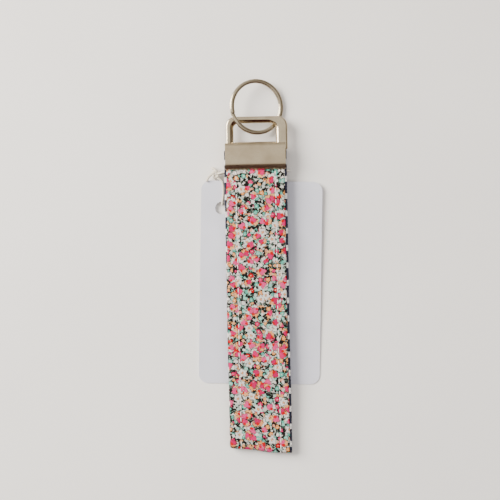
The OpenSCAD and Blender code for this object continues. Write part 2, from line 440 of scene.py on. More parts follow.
def steps(tree, value, stops):
    """A plain colour picked from the stops by a value."""
    return set_stops(add(tree, "ShaderNodeValToRGB", [value]), stops)


def lawn_material():
    """Fine cotton lawn, plain woven and screen printed: a crowded ditsy of small flowers
    with broken near-black outlines on a pale ground, matt, with a faint thread."""
    mat, tree, shader = new_material("cotton_lawn_screen_printed")
    cloth = cloth_coords(tree)
    wobble = noise(tree, cloth, 0.9, 2.0, out="Color", noise_dimensions="2D")
    centred = vector(tree, "SUBTRACT", wobble, (0.5, 0.5, 0.5))
    push = vector(tree, "MULTIPLY", centred, (1.2, 1.2, 0))
    coords = vector(tree, "ADD", cloth, push)
    broken = noise(tree, cloth, 0.5, 1.0, noise_dimensions="2D")
    outline = steps(tree, broken, [(0.0, "#BFC6BC"), (0.38, "#14110F"), (0.59, "#8FB0A0"),
                                   (0.63, "#1A1613")])

    # crowded round blobs with dark gaps where they meet
    seed, pick, tone = scatter(tree, coords, 2.15, (3.3, 7.1, 0), 0.95)
    away = petals(tree, seed, (0.0, 0.0, 0.0), 2, 0.12)
    blob = steps(tree, pick, [
        (0.0, "#C3CAC4"), (0.18, "#E6E4DC"), (0.27, "#8FD3C2"), (0.42, "#EBA86E"),
        (0.56, "#B4CDC3"), (0.67, "#5DB8A6"), (0.77, "#E6A486"), (0.84, "#DC3070"),
        (0.93, "#EFECE5")])
    always = share_of(tree, tone, 2.0)
    colour = stamp(tree, outline, away, always, [(0.385, blob)])

    # single dark specks over the blobs
    speck, _, tone = scatter(tree, coords, 2.4, (8.7, 4.9, 0), 0.95)
    away = petals(tree, speck, (0.0, 0.0, 0.0), 2, 0.2)
    colour = stamp(tree, colour, away, share_of(tree, tone, 0.62), [(0.27, "#100E0D")])

    # ringed berries
    berry, pick, tone = scatter(tree, coords, 3.8, (11.3, 2.7, 0), 0.9)
    away = petals(tree, berry, (0.0, 0.0, 0.0), 5, 0.10)
    fill = steps(tree, pick, [(0.0, "#5CBFA9"), (0.24, "#F0A25C"), (0.46, "#DC2465"),
                              (0.60, "#DDE0DC"), (0.74, "#86CFBE"), (0.93, "#C8000F")])
    colour = stamp(tree, colour, away, share_of(tree, tone, 0.62),
                   [(0.37, "#1F1B19"), (0.28, fill), (0.06, "#F4E4CF")])

    # five-petalled white flowers with a peach eye
    daisy, _, tone = scatter(tree, coords, 6.4, (5.9, 1.2, 0), 0.85)
    away = petals(tree, daisy, (0.0, 0.0, 0.0), 5, 0.22)
    colour = stamp(tree, colour, away, share_of(tree, tone, 0.4),
                   [(0.34, outline), (0.29, "#E6E6E1"), (0.11, "#6F5C4C"), (0.08, "#F0A565")])

    # pink blossoms backed by peach petals, with a red heart on one side
    for pitch, shift, share in ((6.3, (0.4, 9.6, 0), 0.62), (5.2, (7.7, 3.1, 0), 0.3)):
        bloom, pick, tone = scatter(tree, coords, pitch, shift, 0.85)
        chosen = share_of(tree, tone, share)
        pink = steps(tree, pick, [(0.0, "#D8246C"), (0.4, "#E64C88"), (0.75, "#C5185C")])
        leaf = steps(tree, pick, [(0.0, "#F2AE74"), (0.55, "#DFE2DC"), (0.8, "#F0A468")])
        for centre, count, depth, rings in (
                ((0.02, 0.14, 0), 7, 0.18, [(0.34, outline), (0.28, leaf)]),
                ((0.04, -0.08, 0), 3, 0.18, [(0.29, outline), (0.25, pink)]),
                ((-0.15, 0.03, 0), 2, 0.15, [(0.125, "#C8000F")])):
            away = petals(tree, bloom, centre, count, depth)
            colour = stamp(tree, colour, away, chosen, rings)

    # print ink sits unevenly on the threads
    ink = noise(tree, cloth, 2.2, 3.0, noise_dimensions="2D")
    colour = tint(tree, colour, ink, [(0.25, "#BEBABA"), (0.7, "#FDF8F8")])
    tree.links.new(colour, shader.inputs["Base Color"])

    # threads of lawn are 0.2 mm apart, drawn at 0.4 mm so that they show
    height = weave(tree, cloth, 0.4)
    bump(tree, shader, height, 0.3, 0.05 * MM)
    set_inputs(shader, {"Roughness": 0.86, "Sheen Weight": 0.06, "Sheen Roughness": 0.5,
                        "Specular IOR Level": 0.15})
    return mat


def weave(tree, coords, pitch):
    """Height of a plain weave: warp and weft threads that pass over in turn."""
    split = add(tree, "ShaderNodeSeparateXYZ", [coords])
    waves = []
    for axis in (0, 1):
        turn = calc(tree, "MULTIPLY", split.node.outputs[axis], math.pi / pitch)
        waves.append(calc(tree, "SINE", turn))
    crossing = calc(tree, "MULTIPLY", *waves)
    return calc(tree, "MULTIPLY_ADD", crossing, 0.5, 0.5)


def webbing_material():
    """Cotton webbing, woven in a ribbed plain weave with dyed cross stripes: navy and
    white, matt and slightly hairy."""
    mat, tree, shader = new_material("cotton_webbing_striped_woven")
    cloth = cloth_coords(tree)
    split = add(tree, "ShaderNodeSeparateXYZ", [cloth])
    fuzz = noise(tree, cloth, 1.3, 3.0, noise_dimensions="2D")
    ragged = calc(tree, "MULTIPLY_ADD", fuzz, 0.5, split.node.outputs[1])
    repeat = sizes().stripe / MM
    # the first navy stripe starts this far below the clamp
    start = 8.4
    place = calc(tree, "ADD", ragged, -start)
    phase = calc(tree, "FLOORED_MODULO", place, repeat)
    navy_share = 6.3
    mask = inside(tree, phase, navy_share, 0.12)
    colour = over(tree, tuple(colours().white), tuple(colours().navy), mask)
    colour = tint(tree, colour, fuzz, [(0.3, "#C4C4C4"), (0.7, "#FFFFFF")])
    tree.links.new(colour, shader.inputs["Base Color"])
    height = weave(tree, cloth, 0.85)
    bump(tree, shader, height, 0.9, 0.25 * MM)
    set_inputs(shader, {"Roughness": 0.9, "Sheen Weight": 0.3, "Specular IOR Level": 0.3})
    return mat


def thread_material():
    """Polyester sewing thread, spun in two plies: white with a slight lustre."""
    mat, tree, shader = new_material("polyester_thread_spun")
    coords = add(tree, "ShaderNodeTexCoord", out="Object")
    turned = add(tree, "ShaderNodeVectorRotate", {"Vector": coords, "Angle": 0.6},
                 rotation_type="Z_AXIS")
    ply = add(tree, "ShaderNodeTexWave", {"Vector": turned, "Scale": 900.0, "Distortion": 0.5})
    bump(tree, shader, ply, 0.5, 0.05 * MM)
    shade = ramp(tree, ply, [(0.0, "#D9D4CC"), (0.7, "#F6F4EF")])
    tree.links.new(shade, shader.inputs["Base Color"])
    set_inputs(shader, {"Roughness": 0.6, "Sheen Weight": 0.3})
    return mat


def nickel_material(name, hex_light, hex_dull, roughness, grain):
    """Steel, stamped and nickel plated: warm grey, with fine rub marks along the rolling
    direction and small duller patches from handling."""
    mat, tree, shader = new_material(name)
    coords = add(tree, "ShaderNodeTexCoord", out="Object")
    patch = noise(tree, coords, 120.0, 4.0)
    colour = ramp(tree, patch, [(0.3, hex_dull), (0.65, hex_light)])
    tree.links.new(colour, shader.inputs["Base Color"])
    # rub marks 0.15 mm apart and some 3 mm long
    stretched = vector(tree, "MULTIPLY", coords, (350.0, 6500.0, 6500.0))
    marks = noise(tree, stretched, 1.0, 3.0)
    rough = add(tree, "ShaderNodeMapRange",
                [marks, 0.3, 0.7, roughness * 0.8, roughness * 1.25])
    dull = add(tree, "ShaderNodeMapRange", [patch, 0.35, 0.65, 0.06, 0.0])
    total = calc(tree, "ADD", rough, dull)
    tree.links.new(total, shader.inputs["Roughness"])
    bump(tree, shader, marks, grain, 0.02 * MM)
    shader.inputs["Metallic"].default_value = 1.0
    return mat


def string_material():
    """Cotton string, twisted from three plies and unbleached: soft, creamy and matt."""
    mat, tree, shader = new_material("cotton_string_twisted")
    coords = add(tree, "ShaderNodeTexCoord", out="Object")
    fibre = noise(tree, coords, 2600.0, 3.0)
    base = tuple(colours().string)
    colour = tint(tree, base, fibre, [(0.3, "#CFC8BA"), (0.65, "#FFFFFF")])
    tree.links.new(colour, shader.inputs["Base Color"])
    bump(tree, shader, fibre, 0.6, 0.08 * MM)
    set_inputs(shader, {"Roughness": 0.92, "Sheen Weight": 0.4, "Specular IOR Level": 0.25})
    return mat


def card_material():
    """Card, calendered and die cut: cool white with a fine fibre tooth."""
    mat, tree, shader = new_material("card_calendered")
    coords = add(tree, "ShaderNodeTexCoord", out="Object")
    fibre = noise(tree, coords, 1400.0, 5.0)
    cloud = noise(tree, coords, 45.0, 2.0)
    base = tuple(colours().card)
    colour = tint(tree, base, cloud, [(0.3, "#F5F5F5"), (0.7, "#FFFFFF")])
    tree.links.new(colour, shader.inputs["Base Color"])
    bump(tree, shader, fibre, 0.25, 0.04 * MM)
    rough = add(tree, "ShaderNodeMapRange", [fibre, 0.3, 0.7, 0.5, 0.62])
    tree.links.new(rough, shader.inputs["Roughness"])
    return mat


def floor_material():
    """Matt pale backdrop paper, with a very faint unevenness."""
    mat, tree, shader = new_material("backdrop_paper_matt")
    coords = add(tree, "ShaderNodeTexCoord", out="Object")
    cloud = noise(tree, coords, 9.0, 3.0)
    colour = ramp(tree, cloud, [(0.3, "#F0EDEA"), (0.7, "#F5F3F0")])
    tree.links.new(colour, shader.inputs["Base Color"])
    set_inputs(shader, {"Roughness": 0.95, "Specular IOR Level": 0.1})
    return mat


# ---------------------------------------------------------------- strap pieces


def lawn_edges(length):
    """Left and right edge of the lawn, which was sewn on a little unevenly."""
    creep = smooth(25 * MM, 60 * MM, length) * (1 - smooth(CLOTH - 60 * MM, CLOTH, length))
    ripple = 0.15 * MM * math.sin(length * 310) + 0.08 * MM * math.sin(length * 760 + 1)
    left = -LAWN_HALF - 0.75 * MM * creep + ripple
    right = LAWN_HALF - 0.2 * MM + 0.1 * MM * math.sin(length * 420)
    return left, right


def lawn_puff(x, length):
    """Rise of the lawn over the webbing: sewn channels, puckers and a soft crown."""
    rise = 0.0
    for row in (-ROW_X, ROW_X):
        gap = abs(x - row)
        rise -= 0.20 * MM * math.exp(-(gap / (0.55 * MM)) ** 2)
        pucker = math.cos(2 * math.pi * length / sizes().stitch_pitch)
        rise += 0.05 * MM * pucker * math.exp(-(gap / (1.6 * MM)) ** 2)
    rise += 0.16 * MM * (1 - min(abs(x) / ROW_X, 1) ** 4)
    return rise + 0.05 * MM * math.sin(length * 520 + x * 700) * math.sin(x * 900 - length * 300)


def make_lawn(part, material):
    """A stretch of the floral strip, a thin sheet with turned edges."""
    hem_t = LAWN_OUT - WEB_OUT
    across = 66
    bm = bmesh.new()
    for first, last in SPANS[part]:
        along = max(12, round((last - first) / (0.5 * MM)))

        def cross(i, j):
            left, right = lawn_edges(first + (last - first) * j / along)
            return left + (right - left) * i / across

        def place(i, j):
            length = first + (last - first) * j / along
            x = cross(i, j)
            left, right = lawn_edges(length)
            roll = (1 - smooth(0, 0.8 * MM, min(x - left, right - x))) * 0.22 * MM
            loose = smooth(0, 6 * MM, min(length, CLOTH - length))
            rise = (lawn_puff(x, length) - roll) * loose
            return strap_point(x, length, LAWN_OUT - hem_t / 2 + rise)

        def uv(i, j):
            return cross(i, j), first + (last - first) * j / along

        skin(bm, across, along, place, uv)
    for face in bm.faces:
        face.normal_update()
        centre = face.calc_center_median()
        out = centre - Vector((centre.x, max(centre.y, FOLD_Y), mid_z(Y_MOUTH - centre.y)))
        if face.normal.dot(out) < 0:
            face.normal_flip()
    obj = finish_mesh(f"floral_{part}", bm, material, merge=0, recalc=False)
    add_modifier(obj, "SOLIDIFY", thickness=hem_t * 0.8, offset=0.0, use_even_offset=False)
    ride_strap(obj, part)
    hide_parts(*strap_nodes("lawn", part))
    if part != "ends":
        first, last = SPANS[part][0]
    return obj


def make_webbing(part, material):
    """A stretch of the webbing: a woven tape with rounded, slightly bumpy selvedges."""
    thick = sizes().web_t
    outline = tape_outline(2 * WEB_HALF, thick, 40, 5)
    bm = bmesh.new()
    for first, last in SPANS[part]:
        along = max(12, round((last - first) / (0.8 * MM)))

        def place(i, j):
            length = first + (last - first) * j / along
            x, w, _ = outline[i % len(outline)]
            edge = smooth(WEB_HALF - 0.8 * MM, WEB_HALF, abs(x))
            bump = 0.07 * MM * math.sin(2 * math.pi * length / (1.7 * MM)) * edge
            return strap_point(x + math.copysign(bump, x), length, WEB_OUT - thick / 2 + w)

        def uv(i, j):
            turn = 2 * (2 * WEB_HALF + thick) if i == len(outline) else 0
            girth = outline[i % len(outline)][2] + turn
            return girth, first + (last - first) * j / along

        skin(bm, len(outline), along, place, uv, closed=True)
    obj = finish_mesh(f"tape_{part}", bm, material, merge=0)
    ride_strap(obj, part)
    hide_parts(*strap_nodes("webbing", part))
    return obj


def tape_outline(width, thick, flat_steps, round_steps):
    """A tape's cross section with half-round edges: across, off the middle, girth."""
    half = width / 2 - thick / 2
    points = []
    for sign in (1, -1):
        for k in range(flat_steps):
            points.append((sign * (-half + 2 * half * k / flat_steps), sign * thick / 2))
        for k in range(round_steps * 2):
            a = math.pi / 2 - math.pi * k / (round_steps * 2)
            points.append((sign * (half + thick / 2 * math.cos(a)), sign * thick / 2 * math.sin(a)))
    girth = 0.0
    result = []
    last = points[0]
    for p in points:
        girth += math.dist(last, p)
        result.append((p[0], p[1], girth))
        last = p
    return result


def make_stitches(part, material):
    """Both rows of topstitching on a stretch of the strap, one small bead a stitch."""
    pitch, long = sizes().stitch_pitch, sizes().stitch_len
    first, last = SPANS[part][0]
    draw = random.Random(len(part))
    bm = bmesh.new()
    for row in (-ROW_X, ROW_X):
        for k in range(math.ceil((first + 0.2 * MM) / pitch), math.floor(last / pitch) + 1):
            made = bmesh.ops.create_uvsphere(bm, u_segments=8, v_segments=6, radius=0.5)
            drift = draw.uniform(-0.08, 0.08) * MM
            slant = draw.uniform(0.02, 0.09)
            for v in made["verts"]:
                along = v.co.z * long
                across = row + drift + v.co.x * 0.52 * MM + along * slant
                arch = 0.17 * MM * math.cos(math.pi * v.co.z) - 0.10 * MM
                height = LAWN_OUT - 0.06 * MM + arch + v.co.y * 0.36 * MM
                v.co = strap_point(across, k * pitch + along, height)
    obj = finish_mesh(f"topstitch_{part}", bm, material, merge=0)
    ride_strap(obj, part)
    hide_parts(*strap_nodes("stitches", part))
    return obj


# ---------------------------------------------------------------- hardware


def clamp_profile(sheet):
    """Outline of the folded sheet, seen from the side, as below-top and off-middle pairs."""
    mid_r = CLAMP_HALF - sheet / 2
    lip_r = 8.9 * MM
    # a crease, then a broad lip that rolls inwards
    lip_start, lip_turn = math.radians(18), math.radians(40)
    drop = (lip_r + sheet / 2) * (math.sin(lip_turn) - math.sin(lip_start))

    def side(k):
        fold = [(mid_r + sheet / 2 - (mid_r + k) * math.sin(a), (mid_r + k) * math.cos(a))
                for a in [math.pi / 2 * (1 - n / 14) for n in range(15)]]
        plate = [(mid_r + sheet / 2 + (CLAMP_H - drop - mid_r - sheet / 2) * n / 8, mid_r + k)
                 for n in range(1, 8)]
        lip = [(CLAMP_H - drop + (lip_r + k) * (math.sin(a) - math.sin(lip_start)),
                mid_r + k - (lip_r + k) * (math.cos(lip_start) - math.cos(a)))
               for a in [lip_start + (lip_turn - lip_start) * n / 9 for n in range(10)]]
        return fold + plate + lip

    outer, inner = side(sheet / 2), side(-sheet / 2)
    mirror_outer = [(u, -w) for u, w in outer[1:]]
    mirror_inner = [(u, -w) for u, w in inner[1:]]
    return outer[::-1] + mirror_outer + mirror_inner[::-1] + inner


def make_clamp(material):
    """The stamped clamp: one folded sheet with turned-in toothed lips and two notches
    in its fold for the legs of the dee loop."""
    sheet = sizes().sheet_t
    profile = clamp_profile(sheet)
    count = len(profile)
    across = 128
    tooth_half, tooth_deep, crown_rise = 1.0 * MM, 0.45 * MM, 0.10 * MM
    bm = bmesh.new()

    def place(i, j):
        u, w = profile[i % count]
        x = -CLAMP_W + 2 * CLAMP_W * j / across
        tooth = abs((x / tooth_half) % 2 - 1)
        near_tip = (smooth(CLAMP_H - 0.9 * MM, CLAMP_H - 0.1 * MM, u)
                    * smooth(2.4 * MM, 1.95 * MM, abs(w)))
        crown = (crown_rise * (1 - (x / CLAMP_W) ** 2)
                 * smooth(CLAMP_HALF * 0.5, CLAMP_HALF, abs(w)))
        wide = math.copysign(crown * math.sin(math.pi * min(max(u / CLAMP_H, 0), 1)), w)
        return Vector((x, Y_TOP - u + tooth_deep * tooth * near_tip, MOUTH_Z + w + wide))

    skin(bm, count, across, place, closed=True)
    obj = finish_mesh("clamp", bm, material)
    cut_notches(obj)
    add_modifier(obj, "BEVEL", width=0.13 * MM, segments=3, limit_method="ANGLE",
                 angle_limit=math.radians(50))
    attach(obj, "fob")
    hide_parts("clamp_shell")
    return obj


def cut_notches(obj):
    """Cuts the two openings in the clamp's fold with applied booleans."""
    leg_in = DEE_IN - 0.9 * MM
    half_t = (box("dee_loop")[1].z - box("dee_loop")[0].z) / 2 + 0.9 * MM
    for sign in (-1, 1):
        bm = bmesh.new()
        bmesh.ops.create_cube(bm, size=1)
        for v in bm.verts:
            x = leg_in - 0.3 * MM if v.co.x * sign < 0 else CLAMP_W + 2 * MM
            y = Y_TOP + (1 if v.co.y > 0 else -3.2) * MM
            v.co = Vector((sign * x, y, MOUTH_Z + (half_t if v.co.z > 0 else -half_t)))
        cutter = finish_mesh(f"notch_cutter_{sign}", bm, obj.data.materials[0])
        mod = add_modifier(obj, "BOOLEAN", operation="DIFFERENCE", object=cutter, solver="EXACT")
        depsgraph = bpy.context.evaluated_depsgraph_get()
        mesh = bpy.data.meshes.new_from_object(obj.evaluated_get(depsgraph))
        obj.modifiers.remove(mod)
        old = obj.data
        obj.data = mesh
        bpy.data.meshes.remove(old)
        bpy.data.objects.remove(cutter)


DEE_LO, DEE_HI = box("dee_loop")
DEE_LEG = 4.4 * MM
DEE_BAR = 3.6 * MM
DEE_IN = DEE_HI.x - DEE_LEG


def rounded(half, low, high, r_low, r_high, arc_steps):
    """A closed rectangle outline with round corners, evenly matched from part to part."""
    corners = ((1, low, -1, r_low, -90), (1, high, 1, r_high, 0),
               (-1, high, 1, r_high, 90), (-1, low, -1, r_low, 180))
    points = []
    for side, y, up, r, first in corners:
        cx, cy = side * (half - r), y - up * r
        arc = [(cx + r * math.cos(math.radians(first + 90 * n / arc_steps)),
                cy + r * math.sin(math.radians(first + 90 * n / arc_steps)))
               for n in range(arc_steps + 1)]
        points += arc
    result = []
    for n, p in enumerate(points):
        q = points[(n + 1) % len(points)]
        result.append(p)
        if math.dist(p, q) > 5 * MM:
            result += [(p[0] + (q[0] - p[0]) * k / 8, p[1] + (q[1] - p[1]) * k / 8)
                       for k in range(1, 8)]
    return result


def make_dee(material):
    """The dee loop: a stamped ring with a crowned face and a hollow back, its lower bar
    held in the clamp's fold."""
    arc_steps = 12
    # the loop hangs to the right in the fold, and its window is punched off centre
    right, down, window_left = 1.0 * MM, 0.5 * MM, 1.1 * MM
    outer = rounded(DEE_HI.x, DEE_LO.y, DEE_HI.y, 1.2 * MM, 5 * MM, arc_steps)
    inner = rounded(DEE_IN - 0.8 * MM, DEE_LO.y + 2.8 * MM, DEE_HI.y - DEE_BAR, 0.7 * MM,
                    2.9 * MM, arc_steps)
    half_t = (DEE_HI.z - DEE_LO.z) / 2
    broad, narrow = dee_section()
    bm = bmesh.new()

    def place(i, j):
        a, b = outer[j % len(outer)], inner[j % len(outer)]
        # the right leg keeps its flat crown almost to the window
        flat = smooth(6 * MM, 9.5 * MM, b[0])
        share, height = Vector(broad[i % len(broad)]).lerp(Vector(narrow[i % len(broad)]), flat)
        x = a[0] + right + (b[0] - window_left - a[0]) * share
        return Vector((x, a[1] + (b[1] - a[1]) * share - down, MOUTH_Z + half_t * height))

    skin(bm, len(broad), len(outer), place)
    obj = finish_mesh("dee", bm, material)
    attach(obj, "fob")
    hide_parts("dee_loop")
    return obj


def dee_section():
    """Cross sections of the dee, from its outer to its inner edge and back: a flat crown
    that rolls down towards the window, broadly or narrowly, and a shallow channel behind."""
    edge = ((0.0, -0.5), (0.01, 0.1), (0.04, 0.55), (0.09, 0.83), (0.17, 0.97), (0.27, 1.0),
            (0.40, 1.0))
    broad = ((0.50, 0.97), (0.58, 0.88), (0.68, 0.66), (0.78, 0.40), (0.88, 0.12),
             (0.96, -0.14), (0.99, -0.4), (1.0, -0.75))
    narrow = ((0.52, 1.0), (0.64, 1.0), (0.76, 0.97), (0.84, 0.86), (0.90, 0.6),
              (0.95, 0.2), (0.985, -0.3), (1.0, -0.75))
    back = ((0.985, -0.93), (0.94, -1.0), (0.86, -1.0), (0.80, -0.9), (0.72, -0.35),
            (0.55, 0.0), (0.34, 0.1), (0.22, 0.0), (0.18, -0.8), (0.14, -1.0), (0.05, -1.0),
            (0.01, -0.88))
    return edge + broad + back, edge + narrow + back


def make_ring(material):
    """The split ring: one flattened spring wire wound twice, cranked where it steps from
    one turn to the other."""
    lo, hi = box("split_ring")
    mount = next(m for m in frame["record"]["mounts"] if m["name"] == "key_ring")
    # the wound ring is a little larger than the frame's and rests off its centre
    outer = (hi.y - lo.y) / 2 + 0.45 * MM
    centre = Vector(mount["pos_m"]) + Vector((0.7, -0.5, 0.15)) * MM
    wire_w = 2.2 * MM
    wire_t = 1.06 * MM
    normal = Vector(mount["axis"])
    side = Vector((normal.z, 0, -normal.x))
    total = math.radians(694)
    first = math.radians(222)
    crank = math.radians(332)
    crank_len = math.radians(26)
    turn_off = 0.545
    along = 560
    section = []
    for n in range(20):
        a = 2 * math.pi * n / 20
        section.append((math.copysign(abs(math.cos(a)) ** 0.8, math.cos(a)) * wire_w / 2,
                        math.copysign(abs(math.sin(a)) ** 0.9, math.sin(a)) * wire_t / 2))
    bm = bmesh.new()

    def place(i, j):
        turn = total * j / along
        level = -1 + 2 * smooth(crank, crank + crank_len, turn)
        out, up = section[i % len(section)]
        tip = min(turn, total - turn) * outer
        taper = 0.55 + 0.45 * math.sqrt(smooth(0, 0.7 * MM, tip + 0.05 * MM))
        radius = outer - wire_w / 2 + out * taper
        a = first + turn
        lift = level * turn_off * MM + up * taper
        return (centre + side * radius * math.cos(a) + Vector((0, 1, 0)) * radius * math.sin(a)
                + normal * lift)

    skin(bm, len(section), along, place, closed=True)
    obj = finish_mesh("key_ring", bm, material)
    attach(obj, "ring")
    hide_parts("split_ring")
    return obj


# ---------------------------------------------------------------- string and tag

# The string's routes repeat the frame's: X, distance below the clamp, Z, in mm
ROUND_ROUTE = (
    (-20.6, 3.0, 2.7), (-19.5, 3.0, 3.5), (-18.4, 2.7, 4.3), (-17.6, 2.5, 5.1),
    (-16.6, 2.4, 5.7), (-15, 2.4, 5.75), (-12.0, 2.4, 5.75), (0, 2.4, 5.75),
    (12.0, 2.4, 5.75), (15.5, 2.4, 5.75), (17.2, 2.4, 5.4), (17.9, 2.4, 4.4),
    (17.7, 2.4, 3.2), (16.6, 2.4, 2.5), (14.5, 2.4, 2.3), (8.0, 2.4, 2.3), (0, 2.4, 2.3),
    (-8.0, 2.4, 2.3), (-14.5, 2.4, 2.3), (-18.0, 2.9, 2.2), (-19.3, 3.2, 2.2),
    (-20.4, 3.3, 2.1))
TAG_ROUTE = (
    (-20.6, 3.6, 2.7), (-20.0, 5.5, 3.0), (-18.4, 6.6, 2.9), (-17.6, 8.5, 2.8),
    (-17.4, 11.5, 2.75), (-17.5, 14.5, 2.7), (-17.8, 17.0, 2.6), (-18.0, 18.4, 2.4),
    (-18.1, 19.3, 1.9), (-18.2, 19.4, 1.2), (-18.4, 18.6, 0.75), (-18.8, 17.0, 0.65),
    (-19.6, 14.0, 0.65), (-20.4, 11.0, 0.65), (-21.0, 8.0, 0.7), (-21.3, 6.4, 1.1),
    (-21.4, 5.4, 1.9), (-21.2, 3.8, 2.1))
KNOT = Vector((-20.9, 3.0, 2.3))


def lay(points):
    """Route points in millimetres as places in the frame."""
    return [Vector((x * MM, Y_MOUTH - s * MM, z * MM)) for x, s, z in points]


def resample(points, spacing):
    """A smooth curve through points, cut into even steps."""
    fine = []
    pts = [2 * points[0] - points[1]] + list(points) + [2 * points[-1] - points[-2]]
    for k in range(1, len(pts) - 2):
        for n in range(16):
            t = n / 16
            a, b, c, d = pts[k - 1:k + 3]
            fine.append(0.5 * (2 * b + (c - a) * t + (2 * a - 5 * b + 4 * c - d) * t * t
                               + (3 * b - a - 3 * c + d) * t ** 3))
    fine.append(pts[-2])
    total = sum((q - p).length for p, q in zip(fine, fine[1:]))
    count = max(4, round(total / spacing))
    result = [fine[0]]
    walked, k = 0.0, 0
    for n in range(1, count):
        goal = total * n / count
        while walked + (fine[k + 1] - fine[k]).length < goal:
            walked += (fine[k + 1] - fine[k]).length
            k += 1
        span = (fine[k + 1] - fine[k]).length
        result.append(fine[k].lerp(fine[k + 1], (goal - walked) / span))
    result.append(fine[-1])
    return result, total


def twisted(bm, points, diameter):
    """A three-ply twisted string swept along points, with closed ends."""
    path, total = resample(points, 0.22 * MM)
    heading = [(path[min(k + 1, len(path) - 1)] - path[max(k - 1, 0)]).normalized()
               for k in range(len(path))]
    normals = [heading[0].orthogonal().normalized()]
    for k in range(1, len(path)):
        turn = heading[k - 1].rotation_difference(heading[k])
        normals.append((turn @ normals[-1]).normalized())
    sides = 18
    twist = 2 * math.pi / (3.4 * MM)
    step = total / (len(path) - 1)

    def place(i, j):
        a = 2 * math.pi * (i % sides) / sides
        groove = abs(math.sin(1.5 * (a - twist * step * j)))
        radius = diameter / 2 * (0.74 + 0.26 * groove ** 0.6)
        if j in (0, len(path) - 1):
            radius *= 0.55
        side = normals[j]
        up = heading[j].cross(side)
        return path[j] + side * radius * math.cos(a) + up * radius * math.sin(a)

    skin(bm, sides, len(path) - 1, place, closed=True)
    return path, total


def make_string(name, route, body, node, material):
    """One free stretch of the tag's string."""
    bm = bmesh.new()
    diameter = sizes().string_d
    path, total = twisted(bm, lay(route), diameter)
    obj = finish_mesh(name, bm, material, merge=0)
    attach(obj, body)
    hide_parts(node)
    tuple(path[0])
    [tuple(p) for p in path]
    return obj


def make_knot(material):
    """The overhand knot that joins the string, with its two cut tails."""
    bm = bmesh.new()
    diameter = sizes().string_d * 1.3
    loops = []
    for n in range(25):
        a = 2 * math.pi * n / 24 * 1.5 + 0.4
        r = 1.25 + 0.35 * math.cos(1.5 * a)
        loops.append((KNOT.x - 0.3 + r * math.cos(a), KNOT.y + 0.4 + 1.15 * r * math.sin(a),
                      KNOT.z + 0.3 + 0.75 * math.sin(1.5 * a + 0.7)))
    twisted(bm, lay(loops), diameter)
    tails = (
        ((KNOT.x - 0.6, KNOT.y - 0.3, KNOT.z + 0.6), (KNOT.x - 1.9, KNOT.y + 0.1, KNOT.z + 1.0),
         (KNOT.x - 3.2, KNOT.y + 0.9, KNOT.z + 0.9), (KNOT.x - 4.4, KNOT.y + 2.2, KNOT.z + 0.6),
         (KNOT.x - 5.3, KNOT.y + 4.1, KNOT.z + 0.5)),
        ((KNOT.x + 0.1, KNOT.y - 0.8, KNOT.z + 0.3), (KNOT.x - 0.6, KNOT.y - 2.0, KNOT.z + 0.6),
         (KNOT.x - 1.6, KNOT.y - 2.9, KNOT.z + 0.1), (KNOT.x - 2.5, KNOT.y - 3.2, KNOT.z - 0.9)))
    for tail in tails:
        twisted(bm, lay(tail), diameter)
    obj = finish_mesh("knot", bm, material, merge=0)
    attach(obj, "fob")
    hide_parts("string_knot")
    return obj


# ---------------------------------------------------------------- stage


def make_stage():
    """Pale floor, soft light from the upper left and the camera straight above."""
    bm = bmesh.new()
    bmesh.ops.create_grid(bm, x_segments=1, y_segments=1, size=1.6)
    floor = finish_mesh("floor", bm, floor_material())
    if floor.data.polygons[0].normal.z < 0:
        floor.data.flip_normals()

    lights = (
        ("window", (-0.85, 0.42, 0.64), 0.8, 36.0, "#FFFAF2"),
        ("fill", (0.55, -0.35, 0.9), 0.9, 4.0, "#F3F6FF"),
    )
    for name, place, size, power, hex_colour in lights:
        data = bpy.data.lights.new(name, "AREA")
        data.shape = "DISK"
        data.size = size
        data.energy = power
        data.color = linear(hex_colour)[:3]
        lamp = bpy.data.objects.new(name, data)
        lamp.location = place
        aim = Vector((0, 0, 0)) - lamp.location
        lamp.rotation_euler = aim.to_track_quat("-Z", "Y").to_euler()
        # the weak fill only lifts the shadows and doesn't show in the metal
        lamp.visible_glossy = name != "fill"
        bpy.context.scene.collection.objects.link(lamp)

    world = bpy.data.worlds.new("studio")
    world.use_nodes = True
    tree = world.node_tree
    back = tree.nodes["Background"]
    coords = add(tree, "ShaderNodeTexCoord", out="Generated")
    split = add(tree, "ShaderNodeSeparateXYZ", [coords])
    east, north, up = split.node.outputs
    sky = ramp(tree, up, [(0.0, "#A39A8D"), (0.45, "#C4BDB1"), (0.9, "#ECE7DE")])
    # the near side is dark in the reflections of the metal
    low = add(tree, "ShaderNodeMapRange", [up, 0.84, 0.93, 1, 0])
    near = add(tree, "ShaderNodeMapRange", [north, -0.34, -0.24, 1, 0])
    dark = calc(tree, "MULTIPLY", low, near)
    right = add(tree, "ShaderNodeMapRange", [east, 0.35, 0.6, 0, 0.75])
    shaded = over(tree, sky, linear("#4A3A30"), right)
    tree.links.new(over(tree, shaded, linear("#3A0D0A"), dark), back.inputs["Color"])
    back.inputs["Strength"].default_value = 1.35
    bpy.context.scene.world = world

    camera_data = bpy.data.cameras.new("camera")
    camera_data.lens = 85
    camera_data.sensor_width = 36
    camera = bpy.data.objects.new("camera", camera_data)
    # the field of view takes in 265.5 mm at the height of the strap
    distance = 265.5 * MM * camera_data.lens / camera_data.sensor_width
    camera.location = (-3.75 * MM, 7.5 * MM, distance + 4 * MM)
    camera.rotation_euler = (0, 0, math.radians(-1.1))
    bpy.context.scene.collection.objects.link(camera)
    bpy.context.scene.camera = camera


# ---------------------------------------------------------------- operators


class BuildOperator:
    """Shared by the build operators: any fault is raised, never swallowed."""

    bl_options = {"REGISTER", "UNDO"}

    def execute(self, context):
        """Builds the pieces and reports success."""
        self.build()
        return {"FINISHED"}


